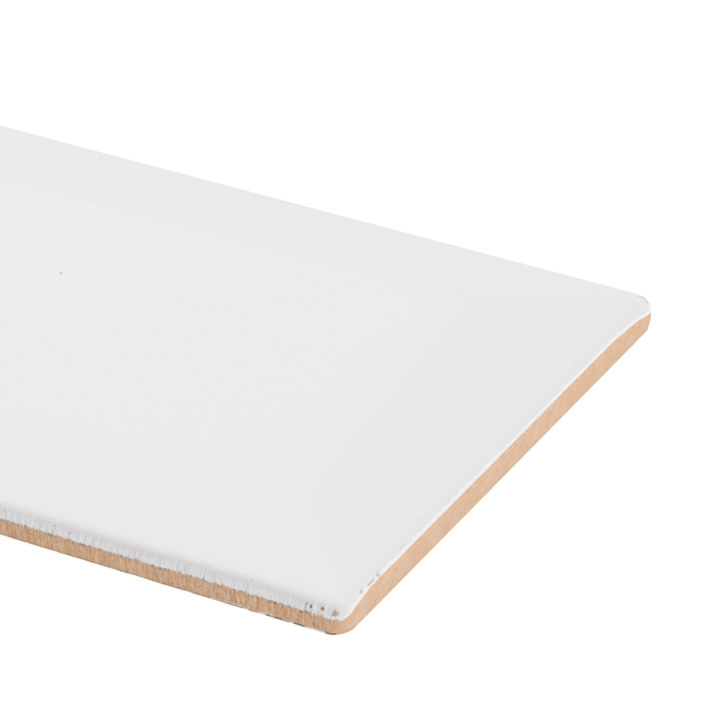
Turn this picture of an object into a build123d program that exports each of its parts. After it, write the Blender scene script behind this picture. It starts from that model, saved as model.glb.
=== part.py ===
from build123d import *
import math
import os

# A white glazed wall tile in brick format, lying on its keyed back with the glazed face up.
# Millimetres. X runs along the tile, Y across it and Z up from the back. Centred on X and Y.

# Size of the tile as it is sold
length = 200.0
width = 100.0

# Glazed face: a flat field inside four shallow slopes
edge_height = 5.0  # from the back up to where the slopes would meet the sides
slope_rise = 1.5  # from there up to the field
side_slope_width = 18.5  # slopes along the two long sides
end_slope_width = 22.0  # slopes along the two short ends
fold_radius = 60.0  # soft folds between field and slopes and between neighbouring slopes

# Edges
corner_radius = 3.0  # upright corners, seen from above
arris_radius = 2.2  # rolled edge from the slopes down to the sides
foot_height = 1.8  # lowest part of the sides, which leans in towards the back
foot_inset = 0.3  # how far the foot leans in

# Keyed back: shallow square recesses with ribs between them, which the adhesive grips
key_size = 17.0
key_rib = 3.5
key_depth = 0.6
key_draft = 25.0  # degrees that the walls of a recess lean, so that the press lets go
key_corner_radius = 2.0
key_border = 8.0  # least plain border round the recesses

thickness = edge_height + slope_rise


def face_section(span, slope_width):
    """Field and two slopes in section, as flat lines moved in by the fold radius, out past the sides."""
    tilt = math.atan2(slope_rise, slope_width)
    half_field = span / 2 - slope_width - fold_radius * math.tan(tilt / 2)
    half_base = half_field + slope_width * thickness / slope_rise
    top = thickness - fold_radius
    base = top - thickness
    corners = [(-half_base, base), (half_base, base), (half_field, top), (-half_field, top)]
    return Polygon(*corners, align=None)


def sloped_face():
    """A hipped block whose planes lie inside the face, grown by the fold radius so that its folds are round."""
    along = extrude(Plane.XZ * face_section(length, end_slope_width), length, both=True)
    across = extrude(Plane.YZ * face_section(width, side_slope_width), length, both=True)
    return offset(along & across, fold_radius, kind=Kind.ARC)


def outline():
    """The tile seen from above, at its widest."""
    return Pos(0, 0, foot_height) * RectangleRounded(length, width, corner_radius)


def pressed_slab():
    """The part above the foot: upright sides, rolled arris and sloped face."""
    slab = extrude(outline(), thickness) & sloped_face()
    sides = slab.faces().filter_by(lambda face: abs(face.normal_at().Z) < 0.01)
    middle = (foot_height + edge_height) / 2
    rim = [e for e in sides.edges() if e.center().Z > middle and abs(e.tangent_at(0.5).Z) < 0.5]
    return fillet(rim, arris_radius)


def foot():
    """The lowest part of the sides, which is smaller at the back."""
    lean = math.degrees(math.atan2(foot_inset, foot_height))
    return extrude(outline(), -foot_height, taper=lean)


def key_recesses():
    """The recesses of the keyed back, as many as fit inside its border."""
    pitch = key_size + key_rib
    columns = int((length - 2 * key_border + key_rib) // pitch)
    rows = int((width - 2 * key_border + key_rib) // pitch)
    mouth = RectangleRounded(key_size, key_size, key_corner_radius)
    recess = extrude(mouth, key_depth, taper=key_draft)
    return [place * recess for place in GridLocations(pitch, pitch, columns, rows)]


def wall_tile():
    """The whole tile, one fired piece."""
    return pressed_slab() + foot() - key_recesses()


os.makedirs("parts", exist_ok=True)
export_step(wall_tile(), "parts/wall_tile.step")
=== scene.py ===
import math

import bpy
import numpy as np
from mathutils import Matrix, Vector
from mathutils.geometry import delaunay_2d_cdt

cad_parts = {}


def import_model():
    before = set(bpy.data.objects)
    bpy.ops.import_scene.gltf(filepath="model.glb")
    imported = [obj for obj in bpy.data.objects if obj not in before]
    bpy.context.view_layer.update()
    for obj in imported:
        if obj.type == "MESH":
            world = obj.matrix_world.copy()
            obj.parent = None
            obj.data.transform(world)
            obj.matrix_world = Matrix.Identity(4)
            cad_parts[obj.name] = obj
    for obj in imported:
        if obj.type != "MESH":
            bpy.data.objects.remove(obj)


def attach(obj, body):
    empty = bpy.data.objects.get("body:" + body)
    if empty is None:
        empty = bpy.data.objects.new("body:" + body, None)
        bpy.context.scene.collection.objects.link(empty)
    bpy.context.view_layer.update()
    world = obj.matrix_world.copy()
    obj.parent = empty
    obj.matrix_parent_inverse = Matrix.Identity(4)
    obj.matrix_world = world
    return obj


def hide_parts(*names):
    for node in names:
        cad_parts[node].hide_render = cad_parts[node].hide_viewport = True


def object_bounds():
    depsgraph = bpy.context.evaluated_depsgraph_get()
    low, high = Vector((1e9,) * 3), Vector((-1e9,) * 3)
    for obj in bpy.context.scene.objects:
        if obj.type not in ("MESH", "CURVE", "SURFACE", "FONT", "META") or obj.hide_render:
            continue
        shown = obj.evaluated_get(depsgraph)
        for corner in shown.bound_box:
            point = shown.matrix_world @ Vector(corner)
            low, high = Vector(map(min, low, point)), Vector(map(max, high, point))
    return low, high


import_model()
cad_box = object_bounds()

# A white glazed wall tile: a pressed earthenware body under a coat of glaze, lying on its keyed back.
# Lengths are in millimetres until a mesh is made. X runs along the tile, Y across it and Z up from the back.
METRES = 0.001

# Size of the tile, from the solid's box
LENGTH, WIDTH, THICKNESS = (round((high - low) / METRES, 3) for low, high in zip(*cad_box))

# Face, edges and back, as in the solid
SLOPE_RISE = 1.5
SIDE_SLOPE = 18.5
END_SLOPE = 22.0
FOLD_RADIUS = 60.0
CORNER_RADIUS = 3.0
ARRIS_RADIUS = 2.2
FOOT_HEIGHT = 1.8
FOOT_INSET = 0.3
KEY_SIZE = 17.0
KEY_RIB = 3.5
KEY_DEPTH = 0.6
KEY_CORNER_RADIUS = 2.0
KEY_COLUMNS = 9
KEY_ROWS = 4
WELD = 0.02  # points of neighbouring cells that lie this close become one
EDGE_HEIGHT = THICKNESS - SLOPE_RISE
KEY_PITCH = KEY_SIZE + KEY_RIB
KEYED_HALF = np.array([KEY_COLUMNS, KEY_ROWS]) * KEY_PITCH / 2

# Runs of the outline: each straight stretch and each rounded corner
END_RUN = WIDTH - 2 * CORNER_RADIUS
SIDE_RUN = LENGTH - 2 * CORNER_RADIUS
CORNER_RUN = CORNER_RADIUS * math.pi / 2
ROUND = 2 * (END_RUN + SIDE_RUN) + 4 * CORNER_RUN

# Coat of glaze. The section is measured up from the back, along the foot, the side and the arris.
BARE_DEPTH = 0.03  # how far the bare foot keeps inside the tile's outline
COVER_ON_SIDES = 0.12
COVER_ON_FACE = 0.25
SIDE_COVER_LEVELS = (0.3, 2.2)  # up the section, where the cover grows to its depth on the sides
FACE_COVER_LEVELS = (4.5, 6.2)  # and then to its depth on the face
SKIN = 0.02  # how far the coat keeps inside the solid's box
SHOULDER_PULL = 0.05  # how much thinner the coat is on the arris, where it drew back in the kiln
PULL_REACH = 1.3  # how quickly it thickens again, in from the arris
RUN_RELIEF = 0.008  # height of the fine runs above its edge
LIP_ROUND = 0.13  # how far above its edge the coat is rounded
TUCK = 0.02  # how far a surface that ends under another sinks below it
CHIP_DEPTH = 0.1  # how far the coat's skin sinks below the body's in a chip
COAT_BACK = 0.16  # how far the hidden back of the coat lies inside the body
# Where the coat ends, as distances from the middle of a corner and levels up the section
SIDE_EDGE = ((0.0, 2.56), (3.0, 2.82), (12.0, 2.88), (24.0, 2.90), (50.0, 2.87))
NEAR_END_EDGE = ((0.0, 2.47), (0.8, 2.87), (2.0, 3.43), (4.0, 3.75), (7.5, 4.13), (10.0, 4.21))
FAR_END_EDGE = ((0.0, 2.60), (2.5, 2.97), (4.3, 3.27), (6.5, 3.70), (14.0, 4.21))

# How uneven that end is: height, length and seed of each wave. Teeth and notches are on the long sides.
EDGE_WAVES = ((0.03, 12.0, 11), (0.04, 2.5, 12))
EDGE_TEETH = ((0.06, 0.5, 13), (0.13, 0.26, 14))
NOTCH_RISE = 0.7
NOTCH_LENGTH = 0.28
NOTCH_START = 0.52  # level of the random pattern above which it cuts a notch

# Fineness of the meshes. Spacing of points along each kind of run
GLAZE_STEPS = {"end": 0.30, "front": 0.12, "far": 0.45, "corner": 0.12}
BODY_STEPS = {"end": 0.40, "front": 0.12, "far": 0.45, "corner": 0.12}
# Rows of the coat, measured up from its edge, then shares of the way on from there to the face
EDGE_ROWS = np.array([-0.4, -0.1, 0, 0.05, 0.12, *np.arange(2, 12) / 10, 1.25, 1.4, 1.6])
SHOULDER_ROWS = np.array([0.12, 0.26, 0.42, 0.6, 0.8, 1.0])
FACE_LAP = 0.25  # how far these rows run onto the face
# Spacing of points across the tile, near the arris and in the middle
FACE_STEPS = (0.24, 1.5)
COAT_BACK_STEPS = (3.0, 8.0)
BODY_TOP_STEPS = (1.2, 8.0)
KEYED_BACK_STEPS = (0.6, 6.0)
RIM_GAP = 0.2  # least distance from these points to the arris
# Levels up the section of the body's rings, close together at the foot and under the edge of the coat
FOOT_LEVELS = (0.0, 0.06, 0.14, 0.24, 0.36, 0.48, 0.6, 0.75, 1.0, 1.3, 1.6, 1.9)
SIDE_LEVELS = (2.1, 2.3, 2.45, 2.6, 2.75, 2.9, 3.2, 3.6, 4.1, 4.7, 5.3, 5.9, 6.4)

# Camera, from the straight edges of the tile in the photograph
CAMERA_PLACE = (373.73, -548.89, 380.89)
CAMERA_HEADING = 28.645
CAMERA_DOWN = 30.571
CAMERA_LENS = 246.13
CAMERA_SENSOR = 36.0


# Helpers

# Settings of nodes that are used more than once
EASED = {"interpolation_type": "SMOOTHSTEP"}
TIMES = {"operation": "MULTIPLY"}
LARGER = {"operation": "MAXIMUM"}
COLOURS = {"data_type": "RGBA"}


def linear(colour):
    """Linear colour and full alpha for an sRGB hex value."""
    parts = [int(colour[i : i + 2], 16) / 255 for i in (1, 3, 5)]
    return [c / 12.92 if c <= 0.04045 else ((c + 0.055) / 1.055) ** 2.4 for c in parts] + [1.0]


def smooth(low, high, value):
    """Eased step from 0 at low to 1 at high."""
    t = np.clip((value - low) / (high - low), 0, 1)
    return t * t * (3 - 2 * t)


def grain(along, up, cell_along, cell_up, seed):
    """Soft random pattern from -1 to 1 on cells of a size, which closes on itself round the tile."""
    rows, count = 64, int(round(ROUND / cell_along))
    table = np.random.default_rng(seed).uniform(-1, 1, (rows, count))
    a, b = np.broadcast_arrays(np.asarray(along, float) / ROUND * count, np.asarray(up, float) / cell_up)
    column, row = np.floor(a).astype(int), np.floor(b).astype(int)
    right, high = smooth(0, 1, a - column), smooth(0, 1, b - row)
    near, far = row % rows, (row + 1) % rows
    first, second = column % count, (column + 1) % count
    bottom = table[near, first] * (1 - right) + table[near, second] * right
    top = table[far, first] * (1 - right) + table[far, second] * right
    return bottom * (1 - high) + top * high


def ripple(along, waves):
    """Sum of soft random waves round the outline, each with a height, a length and a seed."""
    return sum(height * grain(along, 0, length, 1, seed) for height, length, seed in waves)


def bell(value, middle, spread):
    """Soft hump, 1 at the middle and about a third one spread away."""
    return np.exp(-(((value - middle) / spread) ** 2))


def soft_min(a, b, reach):
    """Smaller of two heights, rounded where they come within reach of each other."""
    near = np.maximum(reach - np.abs(a - b), 0) / reach
    return np.minimum(a, b) - near * near * reach / 4


def face_height(x, y):
    """Height of the pressed face: a flat field and four shallow slopes with soft folds."""
    side = EDGE_HEIGHT + SLOPE_RISE * (WIDTH / 2 - np.abs(y)) / SIDE_SLOPE
    end = EDGE_HEIGHT + SLOPE_RISE * (LENGTH / 2 - np.abs(x)) / END_SLOPE
    reach = FOLD_RADIUS / 2 * (SLOPE_RISE / SIDE_SLOPE) ** 2
    return soft_min(soft_min(side, end, reach), THICKNESS, reach)


def inset_at(x, y):
    """How far a place lies in from the widest outline, seen from above."""
    past_x = np.abs(x) - (LENGTH / 2 - CORNER_RADIUS)
    past_y = np.abs(y) - (WIDTH / 2 - CORNER_RADIUS)
    beyond = np.hypot(np.maximum(past_x, 0), np.maximum(past_y, 0))
    return CORNER_RADIUS - beyond - np.minimum(np.maximum(past_x, past_y), 0)


def node(tree, kind, settings=None, **inputs):
    """Adds a node, sets its properties and fills its inputs with values or links.

    An input is named with _ for spaces or by its number, as i0. A node as a value links its first output.
    """
    made = tree.nodes.new(kind)
    for key, value in (settings or {}).items():
        setattr(made, key, value)
    for key, value in inputs.items():
        numbered = key[0] == "i" and key[1:].isdigit()
        slot = made.inputs[int(key[1:]) if numbered else key.replace("_", " ")]
        if isinstance(value, bpy.types.Node):
            value = next(output for output in value.outputs if output.enabled)
        if isinstance(value, bpy.types.NodeSocket):
            tree.links.new(value, slot)
        else:
            slot.default_value = value
    return made


# Outline

# Distances round the outline to the middle of each corner, anticlockwise from above, from the far left
NEAR_LEFT = END_RUN + CORNER_RUN / 2
NEAR_RIGHT = NEAR_LEFT + SIDE_RUN + CORNER_RUN
FAR_RIGHT = NEAR_RIGHT + END_RUN + CORNER_RUN
FAR_LEFT = FAR_RIGHT + SIDE_RUN + CORNER_RUN


def on_front(x):
    """Distance round the outline of a place on the front side."""
    return NEAR_LEFT + CORNER_RUN / 2 + SIDE_RUN / 2 + x


def on_right(y):
    """Distance round the outline of a place on the right end."""
    return NEAR_RIGHT + CORNER_RUN / 2 + END_RUN / 2 + y


def on_corner(middle, turn):
    """Distance round the outline of a place in a corner, by how far it has turned of its 90 degrees."""
    return middle + CORNER_RUN * (turn / 90 - 0.5)


class Walk:
    """Columns of points round the outline, each with its section from the back up to the face."""

    def __init__(self, steps):
        runs = (
            (END_RUN, "end"), (CORNER_RUN, "corner"), (SIDE_RUN, "front"), (CORNER_RUN, "corner"),
            (END_RUN, "end"), (CORNER_RUN, "corner"), (SIDE_RUN, "far"), (CORNER_RUN, "corner"),
        )
        half = np.array([LENGTH / 2 - CORNER_RADIUS, WIDTH / 2 - CORNER_RADIUS])
        corners = np.array([(-1, 1), (-1, -1), (1, -1), (1, 1), (-1, 1)]) * half
        along, centre, heading, start = [], [], [], 0.0
        for k, (run, kind) in enumerate(runs):
            count = math.ceil(run / steps[kind])
            share = np.arange(count) / count
            turning = k % 2
            first, last = corners[k // 2 + turning], corners[k // 2 + 1]
            centre.append(first + (last - first) * share[:, None])
            heading.append(math.pi + (k // 2 + share * turning) * math.pi / 2)
            along.append(start + run * share)
            start += run
        self.along = np.concatenate(along)
        self.centre = np.concatenate(centre)
        self.out = np.stack([np.cos(np.concatenate(heading)), np.sin(np.concatenate(heading))], 1)
        self.find_arris()

    def find_arris(self):
        """Where the rolled arris begins and ends in each column, so that it runs smoothly into the face."""
        tilt = np.full(len(self.along), SLOPE_RISE / SIDE_SLOPE)
        probe = 0.2  # how far in from the arris the tilt of the face is measured
        for _ in range(3):
            self.arc = math.pi / 2 - np.arctan(tilt)
            inset = ARRIS_RADIUS * (1 - np.cos(self.arc))
            rim, inner = (self.centre + (CORNER_RADIUS - inset - d)[:, None] * self.out for d in (0.0, probe))
            top = face_height(*rim.T)
            tilt = (face_height(*inner.T) - top) / probe
        self.spring = top - ARRIS_RADIUS * np.sin(self.arc)
        self.foot = math.hypot(FOOT_HEIGHT, FOOT_INSET)
        self.upright = self.foot + self.spring - FOOT_HEIGHT
        self.end = self.upright + ARRIS_RADIUS * self.arc

    def skin(self, up, depth):
        """Points at a distance up the section, sunk by a depth. Both have a row for each column."""
        rise = np.clip(up, 0, self.foot) / self.foot
        z = FOOT_HEIGHT * rise + np.clip(up - self.foot, 0, (self.upright - self.foot)[:, None])
        lean = -math.atan2(FOOT_INSET, FOOT_HEIGHT) * smooth(self.foot + 0.4, self.foot - 0.4, up)
        bend = np.clip((up - self.upright[:, None]) / ARRIS_RADIUS, 0, self.arc[:, None])
        past = np.maximum(up - self.end[:, None], 0)
        inset = FOOT_INSET * (1 - rise) + ARRIS_RADIUS * (1 - np.cos(bend)) + past * np.sin(bend)
        z = z + ARRIS_RADIUS * np.sin(bend) + past * np.cos(bend)
        inset = inset + depth * np.cos(bend + lean)
        z = z - depth * np.sin(bend + lean)
        reach = CORNER_RADIUS - inset
        x = self.centre[:, :1] + reach * self.out[:, :1]
        y = self.centre[:, 1:] + reach * self.out[:, 1:]
        return np.stack([x, y, z], 2)


class Shell:
    """Points, faces and named values that become one mesh."""

    def __init__(self, *names):
        self.points, self.faces = [], []
        self.values = {name: [] for name in names}
        self.size = 0

    def add(self, points, **values):
        """Adds points and returns their numbers. A value that isn't given is 0."""
        points = np.asarray(points, float).reshape(-1, 3)
        for name, kept in self.values.items():
            value = np.asarray(values.get(name, 0.0), float).ravel()
            kept.append(np.broadcast_to(value, (len(points),)))
        self.points.append(points)
        self.size += len(points)
        return np.arange(self.size - len(points), self.size)

    def ring(self, low, high):
        """A closed strip of quads between two rings, the second above or inside the first."""
        self.faces += np.stack([low, np.roll(low, -1), np.roll(high, -1), high], 1).tolist()

    def fill(self, loops, loose, heights, down=False, skip=None):
        """Triangles inside loops of points that are there already, with loose points at their heights."""
        points = np.concatenate(self.points)
        numbers = np.concatenate([*loops, self.add(np.column_stack([loose, heights]))])
        plane = [Vector(points[n, :2]) for loop in loops for n in loop] + [Vector(p) for p in loose]
        edges, start = [], 0
        for loop in loops:
            edges += [(start + i, start + (i + 1) % len(loop)) for i in range(len(loop))]
            start += len(loop)
        places, _, triangles, source, _, _ = delaunay_2d_cdt(plane, edges, [], 1, 1e-6)
        names = [int(numbers[s[0]]) for s in source]
        for corners in triangles:
            middle = sum((places[i] for i in corners), Vector((0, 0))) / 3
            if skip is None or not skip(middle):
                named = [names[i] for i in corners]
                self.faces.append(named[::-1] if down else named)

    def mesh(self, name):
        """The finished mesh object, in metres."""
        data = bpy.data.meshes.new(name)
        data.from_pydata((np.concatenate(self.points) * METRES).tolist(), [], self.faces)
        for key, kept in self.values.items():
            layer = data.attributes.new(key, "FLOAT", "POINT")
            layer.data.foreach_set("value", np.concatenate(kept).astype(np.float32))
        data.validate()
        data.shade_smooth()
        thing = bpy.data.objects.new(name, data)
        bpy.context.scene.collection.objects.link(thing)
        return thing


def face_points(step, coarse):
    """Loose points across the tile: rings that widen inwards from the arris, then an even field."""
    points, inset = [], ARRIS_RADIUS
    while step < coarse:
        inset += step
        step = min(step * 1.4, coarse)
        a, b = LENGTH / 2 - inset, WIDTH / 2 - inset
        points += [(x, s * b) for x in np.linspace(-a, a, int(2 * a / step)) for s in (-1, 1)]
        points += [(s * a, y) for y in np.linspace(-b, b, int(2 * b / step))[1:-1] for s in (-1, 1)]
    a, b = LENGTH / 2 - inset - coarse, WIDTH / 2 - inset - coarse
    for k, y in enumerate(np.linspace(-b, b, int(2 * b / (coarse * 0.866)))):
        points += [(x, y) for x in np.arange(-a + coarse / 2 * (k % 2), a, coarse)]
    points = np.array(points)
    return points[inset_at(*points.T) > ARRIS_RADIUS + RIM_GAP]


# Coat of glaze

# Places where the coat has chipped off: along the outline, up the section, half length, half height
# and how dark the bared clay is drawn, by dirt and painted shade in the hollow
CHIPS = (
    (on_front(93.80), 4.08, 0.11, 0.20, 0.2),
    (on_front(93.90), 2.90, 0.08, 0.25, 0.8),
    (on_front(94.50), 3.84, 0.15, 0.27, 1.0),
    (on_front(96.30), 4.03, 0.20, 0.22, 0.5),
    (on_corner(NEAR_RIGHT, 25.6), 3.66, 0.44, 0.38, 0.1),
    (on_right(-43.90), 4.70, 0.18, 0.17, 0.0),
    (on_right(-41.30), 4.65, 0.85, 0.10, 0.0),
    (on_right(-39.10), 4.61, 0.22, 0.19, 0.0),
    (on_corner(FAR_RIGHT, 14.0), 4.84, 0.20, 0.22, 0.0),
    (on_corner(FAR_RIGHT, 32.0), 5.48, 0.22, 0.20, 0.6),
    (on_corner(FAR_RIGHT, 44.0), 5.92, 0.25, 0.16, 0.6),
)

SCAR_RADIUS = 0.5  # how far that dirt and painted shade reach from the middle of a chip

# Brown tails that run down the coat below the chips: along the outline and top end up the section
TAILS = ((on_front(93.65), 4.3), (on_front(94.45), 3.6), (on_front(95.70), 3.7), (on_front(96.35), 3.7))

# Bright upright runs of glaze between the chips
RUNS = (on_front(95.10), on_front(96.90))

# Pinholes and specks in the coat: X, Y and radius on the face, then X, level up the section
# and radius on the front
FACE_SPECKS = ((17.80, 9.42, 0.27),)
FRONT_SPECKS = (
    (44.6, 4.35, 0.15), (53.0, 4.34, 0.17), (55.5, 3.95, 0.19),
    (78.0, 5.39, 0.15), (84.8, 5.01, 0.17), (87.8, 4.60, 0.13),
)


def on_ends(along):
    """Distance onto a short end, measured from the middle of its nearer corner. Below 0 on the long sides."""
    left = np.minimum(NEAR_LEFT - along, along + ROUND - FAR_LEFT)
    left = np.where(along > FAR_LEFT, along - FAR_LEFT, left)
    right = np.minimum(along - NEAR_RIGHT, FAR_RIGHT - along)
    return np.maximum(left, right)


def glaze_edge(along):
    """How far up the section the coat ends, and how ragged it is: low on the long sides, even on the ends."""
    from_near = np.maximum(NEAR_LEFT - along, along - NEAR_RIGHT)
    from_far = np.where(along > FAR_LEFT, along - FAR_LEFT, FAR_RIGHT - along)
    from_far = np.where(along < NEAR_LEFT, along + ROUND - FAR_LEFT, from_far)
    near = np.interp(from_near, *zip(*NEAR_END_EDGE))
    far = np.interp(from_far, *zip(*FAR_END_EDGE))
    end = on_ends(along)
    side = np.interp(-end, *zip(*SIDE_EDGE))
    level = np.where(end > 0, np.minimum(near, far), side)
    ragged = smooth(1.2, -1.8, end)
    notches = NOTCH_RISE * np.maximum(grain(along, 0, NOTCH_LENGTH, 1, 15) - NOTCH_START, 0)
    teeth = ripple(along, EDGE_TEETH) + notches
    level = level + ripple(along, EDGE_WAVES) * (0.5 + 0.5 * ragged) + teeth * (0.2 + 0.8 * ragged)
    return level, ragged


def body_depth(up):
    """How deep the earthenware lies under the tile's skin: a thin cover on the sides, more on the face."""
    on_sides = BARE_DEPTH + (COVER_ON_SIDES - BARE_DEPTH) * smooth(*SIDE_COVER_LEVELS, up)
    return on_sides + (COVER_ON_FACE - COVER_ON_SIDES) * smooth(*FACE_COVER_LEVELS, up)


def chipped(along, up):
    """How much of the coat is gone at a place, 1 inside a chip and 0 outside, and how stained its rim is."""
    gone = np.zeros(np.broadcast(along, up).shape)
    stain = gone.copy()
    rough = 0.4 * grain(along, up, 0.2, 0.25, 16)
    for place, level, length, height, _ in CHIPS:
        far = np.hypot((along - place) / length, (up - level) / height) + rough
        gone = np.maximum(gone, smooth(1.15, 0.85, far))
        stain = np.maximum(stain, smooth(1.7, 0.9, far))
    for place, top in TAILS:
        stain = np.maximum(stain, bell(along, place, 0.13) * smooth(top, top - 0.3, up))
    return gone, stain


def coat_depth(along, up, above, ragged, gone):
    """How deep the coat's skin lies: rounded at its edge, with fine runs above it, and sunk away in chips."""
    body = body_depth(up)
    runs = grain(along + 0.12 * up, up, 0.36, 4.0, 21) * smooth(2.0, 0.1, above) * (0.15 + 0.85 * ragged)
    pull = SHOULDER_PULL * smooth(0.1, 1.2, above) + RUN_RELIEF * runs
    depth = SKIN + pull + (body - SKIN + TUCK) * smooth(LIP_ROUND, 0.0, above)
    depth = np.where(above < 0, body + TUCK + np.minimum(-0.8 * above, 0.1), depth)
    return depth * (1 - gone) + (body + CHIP_DEPTH) * gone


def coat_tones(along, above, ragged, stain):
    """Where the coat is streaked, stained, painted with shade or painted with a highlight, as values that its
    finish reads.

    The long sides have a streaked lip under a band of painted shade. The ends have a painted highlight along
    the lip, under a fine greyer line.
    """
    lip = smooth(2.2, 0.1, above) * (0.15 + 0.85 * ragged)
    # Painted shade: a grey band across the rolled arris, mostly on the long sides
    band = 0.5 * bell(above, 1.65, 0.65) * (0.2 + 0.8 * ragged)
    # A fine greyer line above the lip, on the ends
    line = bell(above, 0.85, 0.18) * smooth(-0.6, 0.6, grain(along, 0, 0.8, 1, 22))
    drips = 0.8 * np.max([bell(along, place, 0.12) for place in RUNS], axis=0)
    drips = drips * smooth(0.0, 0.2, above) * smooth(2.6, 2.0, above)
    # Painted highlight: a whiter lip along the ends, carried in the run tone together with the bright runs of
    # glaze
    painted_lip_highlight = 0.55 * smooth(0.75, 0.35, above) * (1 - ragged)
    # The thin tone carries the band of painted shade and the ends' greyer line
    thin = np.maximum(band, 0.3 * line * (1 - ragged))
    return {"lip": lip, "thin": thin, "run": np.maximum(drips, painted_lip_highlight), "stain": 0.6 * stain}


def glaze_coat():
    """The coat of glaze, a thin closed shell from its ragged edge over the arris and across the face."""
    walk = Walk(GLAZE_STEPS)
    along = walk.along[:, None]
    edge, ragged = (v[:, None] for v in glaze_edge(walk.along))
    room = walk.end[:, None] + FACE_LAP - edge - EDGE_ROWS[-1]
    shoulder = edge + EDGE_ROWS[-1] + room * SHOULDER_ROWS
    up = np.concatenate([edge + EDGE_ROWS, shoulder], 1)
    above = up - edge
    gone, stain = chipped(along, up)
    points = walk.skin(up, coat_depth(along, up, above, ragged, gone))
    tones = coat_tones(along, above, ragged, stain)
    shell = Shell(*tones)
    outer = []
    for k in range(up.shape[1]):
        outer.append(shell.add(points[:, k], **{name: tone[:, k] for name, tone in tones.items()}))
    inner_up = np.concatenate([up[:, :1], (up[:, :1] + up[:, -1:]) / 2, up[:, -1:]], 1)
    inside = walk.skin(inner_up, body_depth(inner_up) + COAT_BACK)
    inner = [shell.add(inside[:, k]) for k in range(3)]
    rings = [*inner[::-1], *outer]
    for low, high in zip(rings, rings[1:]):
        shell.ring(low, high)
    loose = face_points(*FACE_STEPS)
    rim = inset_at(*loose.T) - ARRIS_RADIUS
    shell.fill([outer[-1]], loose, face_height(*loose.T) - SKIN - SHOULDER_PULL * np.exp(-rim / PULL_REACH))
    under = face_points(*COAT_BACK_STEPS)
    shell.fill([inner[-1]], under, face_height(*under.T) - COVER_ON_FACE - COAT_BACK, down=True)
    return shell.mesh("glaze_coat")


def place_of(along, up):
    """Where a place on the tile's outer skin lies, from its distance round the outline and up the section."""
    walk = Walk(GLAZE_STEPS)
    column = int(np.argmin(np.abs(walk.along - along)))
    return walk.skin(np.full((len(walk.along), 1), up), 0.0)[column, 0]


# Earthenware body


def key_cell():
    """One cell of the keyed back: a square of rib round a shallow recess with softened edges, facing down."""
    half, straight = KEY_PITCH / 2, KEY_SIZE / 2 - KEY_CORNER_RADIUS
    # Each ring's distance in from the recess's outline and its depth, from the rib to the recess's floor
    section = ((-0.2, 0.0), (-0.05, 0.04), (0.05, 0.15), (0.22, 0.5), (0.4, KEY_DEPTH))
    turns = 5  # points round each corner
    shell = Shell()
    outer, rings = [], [[] for _ in section]
    for k in range(4):
        a = k * math.pi / 2
        spin = np.array([[math.cos(a), math.sin(a)], [-math.sin(a), math.cos(a)]])
        outer += (np.array([(half, straight), (half, half), (straight, half)]) @ spin).tolist()
        for ring, (inset, _) in zip(rings, section):
            turn = np.linspace(0, math.pi / 2, turns)
            arc = straight + (KEY_CORNER_RADIUS - inset) * np.stack([np.cos(turn), np.sin(turn)], 1)
            ring += (arc @ spin).tolist()
    square = shell.add(np.column_stack([outer, np.zeros(12)])).tolist()
    loops = [shell.add(np.column_stack([r, np.full(len(r), d)])) for r, (_, d) in zip(rings, section)]
    mouth = loops[0].tolist()
    for k in range(4):
        side, corner, last = square[3 * k : 3 * k + 3]
        arc = mouth[turns * k : turns * (k + 1)]
        shell.faces.append([side, arc[0], corner])
        shell.faces += [[corner, p, q] for p, q in zip(arc, arc[1:])]
        shell.faces.append([corner, arc[-1], last])
        shell.faces.append([last, arc[-1], mouth[turns * (k + 1) % len(mouth)], square[(3 * k + 3) % 12]])
    for low, high in zip(loops[1:], loops):
        shell.ring(low, high)
    shell.faces.append(loops[-1][::-1].tolist())
    return shell.mesh("key_cell")


def key_tree():
    """Geometry nodes that repeat one cell on a grid and join the cells into one mesh."""
    tree = bpy.data.node_groups.new("keyed_back", "GeometryNodeTree")
    face = tree.interface
    face.new_socket("Cell", in_out="INPUT", socket_type="NodeSocketGeometry")
    for name in ("Columns", "Rows"):
        face.new_socket(name, in_out="INPUT", socket_type="NodeSocketInt")
    face.new_socket("Pitch", in_out="INPUT", socket_type="NodeSocketFloat")
    face.new_socket("Finish", in_out="INPUT", socket_type="NodeSocketMaterial")
    face.new_socket("Keyed Back", in_out="OUTPUT", socket_type="NodeSocketGeometry")
    given = node(tree, "NodeGroupInput").outputs
    spans = []
    for name in ("Columns", "Rows"):
        gaps = node(tree, "ShaderNodeMath", {"operation": "SUBTRACT"}, i0=given[name], i1=1.0)
        spans.append(node(tree, "ShaderNodeMath", TIMES, i0=gaps, i1=given["Pitch"]))
    grid = node(
        tree, "GeometryNodeMeshGrid", Size_X=spans[0], Size_Y=spans[1],
        Vertices_X=given["Columns"], Vertices_Y=given["Rows"],
    )
    cells = node(tree, "GeometryNodeInstanceOnPoints", Points=grid, Instance=given["Cell"])
    loose = node(tree, "GeometryNodeRealizeInstances", Geometry=cells)
    joined = node(tree, "GeometryNodeMergeByDistance", Geometry=loose, Distance=WELD * METRES)
    dressed = node(tree, "GeometryNodeSetMaterial", Geometry=joined, Material=given["Finish"])
    node(tree, "NodeGroupOutput", Keyed_Back=dressed)
    return tree


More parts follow.
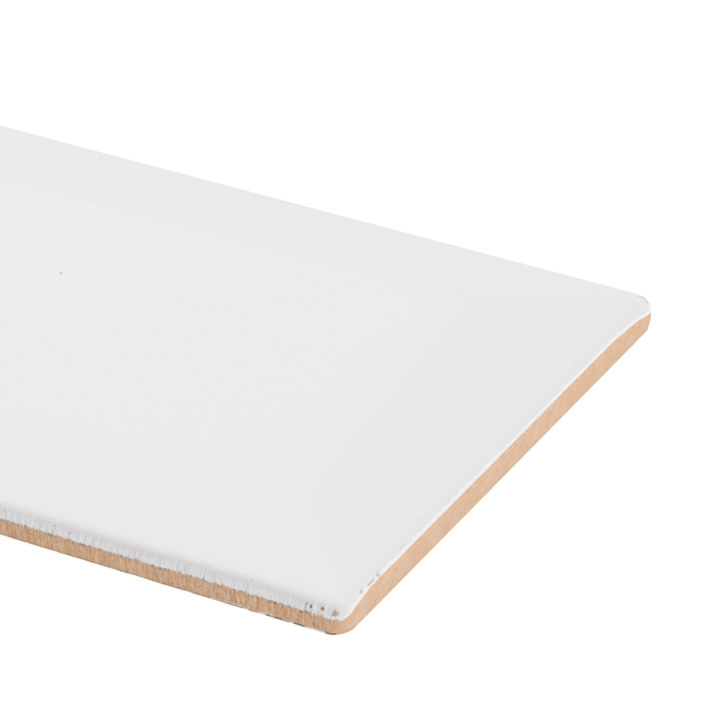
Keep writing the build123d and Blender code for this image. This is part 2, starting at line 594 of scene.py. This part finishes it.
def keyed_back(finish):
    """Points and faces of all the cells of the back, in millimetres."""
    cell = key_cell()
    tree = key_tree()
    maker = cell.modifiers.new("keyed_back", "NODES")
    maker.node_group = tree
    sizes = {"Columns": KEY_COLUMNS, "Rows": KEY_ROWS, "Pitch": KEY_PITCH * METRES, "Finish": finish}
    for socket in tree.interface.items_tree:
        if socket.name in sizes:
            maker[socket.identifier] = sizes[socket.name]
    made = bpy.data.meshes.new_from_object(cell.evaluated_get(bpy.context.evaluated_depsgraph_get()))
    points = np.array([v.co for v in made.vertices]) / METRES
    faces = [list(f.vertices) for f in made.polygons]
    single = cell.data
    bpy.data.objects.remove(cell)
    bpy.data.meshes.remove(single)
    bpy.data.meshes.remove(made)
    return points, faces


def border_loop(points):
    """Numbers of the points on the rim of the keyed cells, in order, anticlockwise from above."""
    on_rim = (np.abs(np.abs(points[:, :2]) - KEYED_HALF) < 0.01).any(1) & (points[:, 2] < 0.01)
    rim = np.where(on_rim)[0]
    x, y = (points[rim, :2] / KEYED_HALF).T
    by_side = np.where(x > 0.9999, y, np.where(y > 0.9999, 2 - x, np.where(x < -0.9999, 4 - y, 6 + x)))
    return rim[np.argsort(by_side)]


# Marks along the lower edge of the front, from and to along X: pale kiln wash, with how far up the section
# it reaches and how uneven its edge is, dashes of painted shadow, and a thin line of painted contact shadow
# with a darker stretch
WASHES = ((78.6, 92.0, 0.42), (93.5, 96.8, 0.27))
WASH_WAVES = ((0.12, 1.6, 41), (0.06, 0.6, 42))
FOOT_SHADOW_DASHES = ((87.4, 87.9), (88.7, 89.7), (91.9, 93.4), (96.9, 98.4))
CONTACT_SHADOW_LINE = (-97.0, 93.4)
DARKER_STRETCH = (81.0, 93.0)


def between(along, stretches, ease):
    """1 on some stretches of the front and 0 elsewhere, with soft ends."""
    share = [smooth(on_front(a) - ease, on_front(a), along) * smooth(on_front(b) + ease, on_front(b), along)
             for a, b in stretches]
    return np.max(share, axis=0)


def edge_marks(along, up):
    """Pale kiln wash, and dark dashes and a thin line of painted shadow along the lower edge of the front, by
    the near corner.
    """
    uneven = ripple(along, WASH_WAVES)
    wash = [between(along, ((start, end),), 0.4) * smooth(top, top - 0.14, up + uneven)
            for start, end, top in WASHES]
    wash = np.max(wash, axis=0)
    # Painted shadow in dark dashes at the foot
    dash = 0.8 * between(along, FOOT_SHADOW_DASHES, 0.2) * smooth(0.34, 0.2, up)
    # Painted contact shadow: a thin dark line along the bottom of the front
    line = (0.6 + 0.4 * between(along, (DARKER_STRETCH,), 2.0)) * between(along, (CONTACT_SHADOW_LINE,), 0.3)
    line = line * smooth(0.22, 0.06, up) * smooth(-0.8, 0.0, grain(along, 0, 0.9, 1, 43))
    return wash * (1 - dash), np.maximum(dash, line)


def lip_marks(along, up):
    """A pale film of glaze on the earthenware under the ragged edge of the coat, and painted shade below it
    in short dark dashes.
    """
    edge, ragged = glaze_edge(along)
    below = edge - up
    film = 0.22 * ragged * smooth(0.6, 0.0, below) * smooth(-0.6, -0.3, below)
    dashes = smooth(0.2, 0.7, grain(along, 0, 0.21, 1, 51)) * smooth(0.6, 0.15, below)
    # Painted shade just below the edge of the coat, darkest in short dashes under its notches
    return film, ragged * (0.12 * smooth(0.8, 0.0, below) + 0.5 * dashes)


def wear(along, up, side):
    """How deep the bare sides are scraped upright and chafed along the foot, most at its corners."""
    slant = along + 0.2 * up
    scraped = 0.02 * grain(slant, up, 0.7, 5.0, 31) + 0.012 * grain(slant, up, 0.6, 0.6, 32)
    scraped = scraped * (0.2 + 0.8 * side) * smooth(5.0, 4.0, up) * smooth(0.0, 0.4, up)
    chafed = smooth(0.3, 0.0, up) * (0.03 + 0.04 * grain(along, 0, 1.1, 1, 33) * side)
    corners = 0.22 * smooth(2.4, 0.4, np.abs(on_ends(along) - 0.5)) * smooth(1.4, 0.0, up)
    return scraped + chafed + corners


def biscuit_body(finish):
    """The pressed earthenware: scraped sides, a plain top under the glaze and the keyed back."""
    walk = Walk(BODY_STEPS)
    shell = Shell("scrape", "wash", "soot")
    levels = np.array(FOOT_LEVELS + SIDE_LEVELS)
    along, up = walk.along[:, None], levels[None, :] + np.zeros((len(walk.along), 1))
    side = smooth(0.5, -2.5, on_ends(along))
    points = walk.skin(up, body_depth(up) + wear(along, up, side))
    points[:, 0, 2] = 0.0  # the foot's rim lies on the floor
    # Painted shade: dark dashes and a contact line along the foot, and short dashes under the edge of the
    # coat
    wash, soot = edge_marks(along, up)
    film, shadow = lip_marks(along, up)
    wash, soot = np.maximum(wash, film), np.maximum(soot, shadow)
    rings = []
    for k in range(len(levels)):
        rings.append(shell.add(points[:, k], scrape=side, wash=wash[:, k], soot=soot[:, k]))
    for low, high in zip(rings, rings[1:]):
        shell.ring(low, high)
    loose = face_points(*BODY_TOP_STEPS)
    shell.fill([rings[-1]], loose, face_height(*loose.T) - COVER_ON_FACE - TUCK)
    cells, faces = keyed_back(finish)
    numbers = shell.add(cells)
    shell.faces += [[int(numbers[n]) for n in face] for face in faces]
    back = face_points(*KEYED_BACK_STEPS)
    back = back[(np.abs(back) > KEYED_HALF + 0.5).any(1)]

    def keyed(place):
        return abs(place.x) < KEYED_HALF[0] and abs(place.y) < KEYED_HALF[1]

    loops = [rings[0], numbers[border_loop(cells)]]
    shell.fill(loops, back, np.zeros(len(back)), down=True, skip=keyed)
    return shell.mesh("biscuit_body")


# Finishes


def new_finish(name):
    """An empty material and its node tree."""
    made = bpy.data.materials.new(name)
    made.use_nodes = True
    made.node_tree.nodes.clear()
    return made, made.node_tree


def pattern(tree, cell, detail=2.0):
    """Soft noise from 0 to 1 on Object coordinates, with cells of a size in millimetres along X, Y and Z."""
    place = node(tree, "ShaderNodeTexCoord").outputs["Object"]
    fitted = node(tree, "ShaderNodeMapping", Vector=place, Scale=[1 / (c * METRES) for c in cell])
    return node(tree, "ShaderNodeTexNoise", Vector=fitted, Scale=1.0, Detail=detail)


def share(tree, value, low, high, amount):
    """How much of a layer shows: an amount, times a value eased from 0 at low to 1 at high."""
    eased = node(tree, "ShaderNodeMapRange", EASED, i0=value, i1=low, i2=high)
    return node(tree, "ShaderNodeMath", TIMES, i0=eased, i1=amount)


def layered(tree, colour, layers):
    """A colour with others laid over it in turn, each by its share. Colours are hex values."""
    colour = linear(colour)
    for cover, over in layers:
        colour = node(tree, "ShaderNodeMix", COLOURS, i0=cover, i6=colour, i7=linear(over))
    return colour


def dots(tree, places):
    """Soft spots, each given by its place, its radius and its amount in the middle."""
    seat = node(tree, "ShaderNodeTexCoord").outputs["Object"]
    whole = 0.0
    for place, radius, amount in places:
        centre = [v * METRES for v in place]
        far = node(tree, "ShaderNodeVectorMath", {"operation": "DISTANCE"}, i0=seat, i1=centre)
        dot = share(tree, far, radius * METRES, 0.5 * radius * METRES, amount)
        whole = node(tree, "ShaderNodeMath", LARGER, i0=whole, i1=dot)
    return whole


def white_glaze():
    """Glossy opaque white glaze: clean and bright, streaked above its edge, with painted shade on the arris
    and a painted highlight on the ends' lip.
    """
    made, tree = new_finish("opaque_white_glaze")
    lip, thin, run, stain = (
        node(tree, "ShaderNodeAttribute", {"attribute_name": name}).outputs["Fac"]
        for name in ("lip", "thin", "run", "stain")
    )
    # Runs in the lip are about 0.1 mm wide and 2 mm long
    streaks = pattern(tree, (0.11, 1.8, 1.8))
    specks = [((x, y, face_height(x, y)), radius, 0.75) for x, y, radius in FACE_SPECKS]
    specks += [(place_of(on_front(x), up), radius, 0.6) for x, up, radius in FRONT_SPECKS]
    colour = layered(tree, "#EFEFEF", (
        # Painted shade on the arris, and the ends' fine greyer line
        (thin, "#D5CFCE"),
        (share(tree, streaks, 0.48, 0.34, lip), "#CFC8CA"),
        (share(tree, streaks, 0.5, 0.64, lip), "#FAFBFF"),
        # Bright runs of glaze, and the painted highlight along the lip of the ends
        (run, "#FCFCFF"),
        (stain, "#CDB09A"),
        (dots(tree, specks), "#7A6A60"),
    ))
    # A fired glaze lies in very shallow waves about 10 mm long
    wavy = pattern(tree, (9.0, 9.0, 9.0), 1.0)
    bump = node(tree, "ShaderNodeBump", Strength=0.04, Distance=0.4 * METRES, Height=wavy)
    shader = node(tree, "ShaderNodeBsdfPrincipled", Base_Color=colour, Roughness=0.12, IOR=1.5, Normal=bump)
    node(tree, "ShaderNodeOutputMaterial", Surface=shader)
    return made


def bare_biscuit():
    """Bare fired earthenware: matt, dry, pinkish tan with grit, scraped into streaks on the long sides."""
    made, tree = new_finish("bare_earthenware_biscuit")
    scrape, soot, wash = (
        node(tree, "ShaderNodeAttribute", {"attribute_name": name}).outputs["Fac"]
        for name in ("scrape", "soot", "wash")
    )
    # The grit of such a body and the scrapes that it leaves are about 0.1 mm wide. Both are drawn
    # two to three times as coarse, so that they show.
    streaks = pattern(tree, (0.32, 0.32, 3.0), 3.0)
    grit = pattern(tree, (0.24, 0.24, 0.4), 3.0)
    # The clay's own colour varies over 1 to 4 mm
    mottle = pattern(tree, (1.0, 1.6, 0.7))
    cloud = pattern(tree, (4.0, 4.0, 4.0))
    rough = node(tree, "ShaderNodeMath", {"operation": "MULTIPLY_ADD"}, i0=scrape, i1=0.6, i2=0.25)
    seat = node(tree, "ShaderNodeTexCoord").outputs["Object"]
    height = node(tree, "ShaderNodeSeparateXYZ", Vector=seat).outputs["Z"]
    scars = [(place_of(along, up), SCAR_RADIUS, dirt_and_shade) for along, up, _, _, dirt_and_shade in CHIPS]
    colour = layered(tree, "#E5BFA0", (
        (share(tree, cloud, 0.35, 0.65, 1.0), "#E8C6AB"),
        (share(tree, mottle, 0.55, 0.75, 0.6), "#F0D7C2"),
        (share(tree, mottle, 0.45, 0.28, 0.6), "#DDB08C"),
        (scrape, "#E4BA95"),
        (share(tree, streaks, 0.52, 0.68, scrape), "#F2D4B3"),
        (share(tree, streaks, 0.48, 0.32, scrape), "#D09E78"),
        # Paler towards the foot: painted light that offsets the shade near the floor
        (share(tree, height, 3.0 * METRES, 0.2 * METRES, 0.2), "#F2D6B8"),
        (share(tree, grit, 0.42, 0.28, rough), "#A8744B"),
        (share(tree, grit, 0.6, 0.75, rough), "#F8E6D0"),
        # Darker clay in the chips: dirt, and painted shade in their hollows
        (dots(tree, scars), "#8A6648"),
        (wash, "#FFFFFD"),
        # Painted shade along the foot and under the edge of the coat
        (soot, "#6A4630"),
    ))
    bump = node(tree, "ShaderNodeBump", Strength=0.35, Distance=0.1 * METRES, Height=grit)
    shader = node(tree, "ShaderNodeBsdfPrincipled", Base_Color=colour, Roughness=0.9, IOR=1.45, Normal=bump)
    node(tree, "ShaderNodeOutputMaterial", Surface=shader)
    return made


# Studio

# Softboxes: azimuth anticlockwise from the tile's right and elevation in degrees, distance, width and
# height in metres, glow, and whether the glaze mirrors it
LAMPS = {
    "left_softbox": (178, 36, 1.2, 0.6, 0.6, 2.35, False),
    "overhead_softbox": (172, 62, 1.1, 0.6, 0.6, 0.44, False),
    "right_softbox": (8, 16, 0.95, 1.1, 0.51, 1.01, False),
    "front_fill": (-40, 25, 0.9, 0.65, 0.65, 0.23, False),
    "back_panel": (128, 40, 1.5, 0.68, 0.8, 0.2, True),
}
SKY_LIGHT = 0.67  # how strongly the surroundings light the tile, where 1 is how bright they look
FLOOR_LIFT = 0.5  # how much brighter the floor looks than it is lit
FLOOR_REACH = 4.0  # metres from the middle
FLOOR_DROP = 0.02  # how far the floor lies below the tile's back, so that their faces don't coincide
FLOOR_OPENING_INSET = 2.0  # the floor is open under the tile, this far in from its outline


def camera():
    """The photograph's camera, at its place and angle."""
    data = bpy.data.cameras.new("camera")
    data.lens = CAMERA_LENS
    data.sensor_width = CAMERA_SENSOR
    data.clip_start = 0.01
    data.clip_end = 100.0
    thing = bpy.data.objects.new("camera", data)
    thing.location = [v * METRES for v in CAMERA_PLACE]
    thing.rotation_euler = (math.radians(90 - CAMERA_DOWN), 0, math.radians(CAMERA_HEADING))
    bpy.context.scene.collection.objects.link(thing)
    bpy.context.scene.camera = thing


def softbox(name, azimuth, elevation, distance, wide, high, glow, mirrored):
    """A soft rectangular lamp of a given glow, which faces the tile and may show in the glaze."""
    data = bpy.data.lights.new(name, "AREA")
    data.shape = "RECTANGLE"
    data.size = wide
    data.size_y = high
    data.energy = glow * 4 * wide * high  # a lamp's power is four times its glow and area
    thing = bpy.data.objects.new(name, data)
    turn, lift = math.radians(azimuth), math.radians(elevation)
    towards = Vector((math.cos(turn) * math.cos(lift), math.sin(turn) * math.cos(lift), math.sin(lift)))
    thing.location = towards * distance
    thing.rotation_euler = (-towards).to_track_quat("-Z", "Y").to_euler()
    thing.visible_glossy = mirrored
    bpy.context.scene.collection.objects.link(thing)


def shows(tree):
    """1 for rays from the camera and from a glossy or clear surface, 0 for the light itself."""
    path = node(tree, "ShaderNodeLightPath").outputs
    glossy = node(tree, "ShaderNodeMath", LARGER, i0=path["Is Glossy Ray"], i1=path["Is Transmission Ray"])
    return node(tree, "ShaderNodeMath", LARGER, i0=path["Is Camera Ray"], i1=glossy)


def floor():
    """A pale floor, white to the camera except where the tile shades it, and open under the tile's back."""
    data = bpy.data.meshes.new("floor")
    level = -FLOOR_DROP * METRES
    opening = [(side / 2 - FLOOR_OPENING_INSET) * METRES for side in (LENGTH, WIDTH)]
    turns = ((-1, -1), (1, -1), (1, 1), (-1, 1))
    corners = [(x * FLOOR_REACH, y * FLOOR_REACH, level) for x, y in turns]
    corners += [(x * opening[0], y * opening[1], level) for x, y in turns]
    data.from_pydata(corners, [], [(k, (k + 1) % 4, (k + 1) % 4 + 4, k + 4) for k in range(4)])
    thing = bpy.data.objects.new("floor", data)
    bpy.context.scene.collection.objects.link(thing)
    made, tree = new_finish("pale_floor")
    paint = node(tree, "ShaderNodeBsdfDiffuse", Color=linear("#E6E6E6"))
    lift = node(tree, "ShaderNodeMath", TIMES, i0=shows(tree), i1=FLOOR_LIFT)
    glow = node(tree, "ShaderNodeEmission", Color=(1, 1, 1, 1), Strength=lift)
    both = node(tree, "ShaderNodeAddShader", i0=paint, i1=glow)
    node(tree, "ShaderNodeOutputMaterial", Surface=both)
    data.materials.append(made)


def world():
    """Even pale surroundings, which look white and light the tile softly."""
    made = bpy.data.worlds.new("studio")
    bpy.context.scene.world = made
    made.use_nodes = True
    tree = made.node_tree
    tree.nodes.clear()
    level = node(tree, "ShaderNodeMapRange", i0=shows(tree), i1=0.0, i2=1.0, i3=SKY_LIGHT, i4=1.0)
    sky = node(tree, "ShaderNodeBackground", Color=(1, 1, 1, 1), Strength=level)
    node(tree, "ShaderNodeOutputWorld", Surface=sky)


biscuit_finish = bare_biscuit()
glaze = glaze_coat()
biscuit = biscuit_body(biscuit_finish)
glaze.data.materials.append(white_glaze())
biscuit.data.materials.append(biscuit_finish)
for piece, slot in ((glaze, "white_glaze"), (biscuit, "biscuit")):
    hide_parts("wall_tile")
    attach(piece, "root")

camera()
floor()
world()
for lamp_name, lamp_values in LAMPS.items():
    softbox(lamp_name, *lamp_values)
bpy.context.scene.view_settings.view_transform = "Standard"
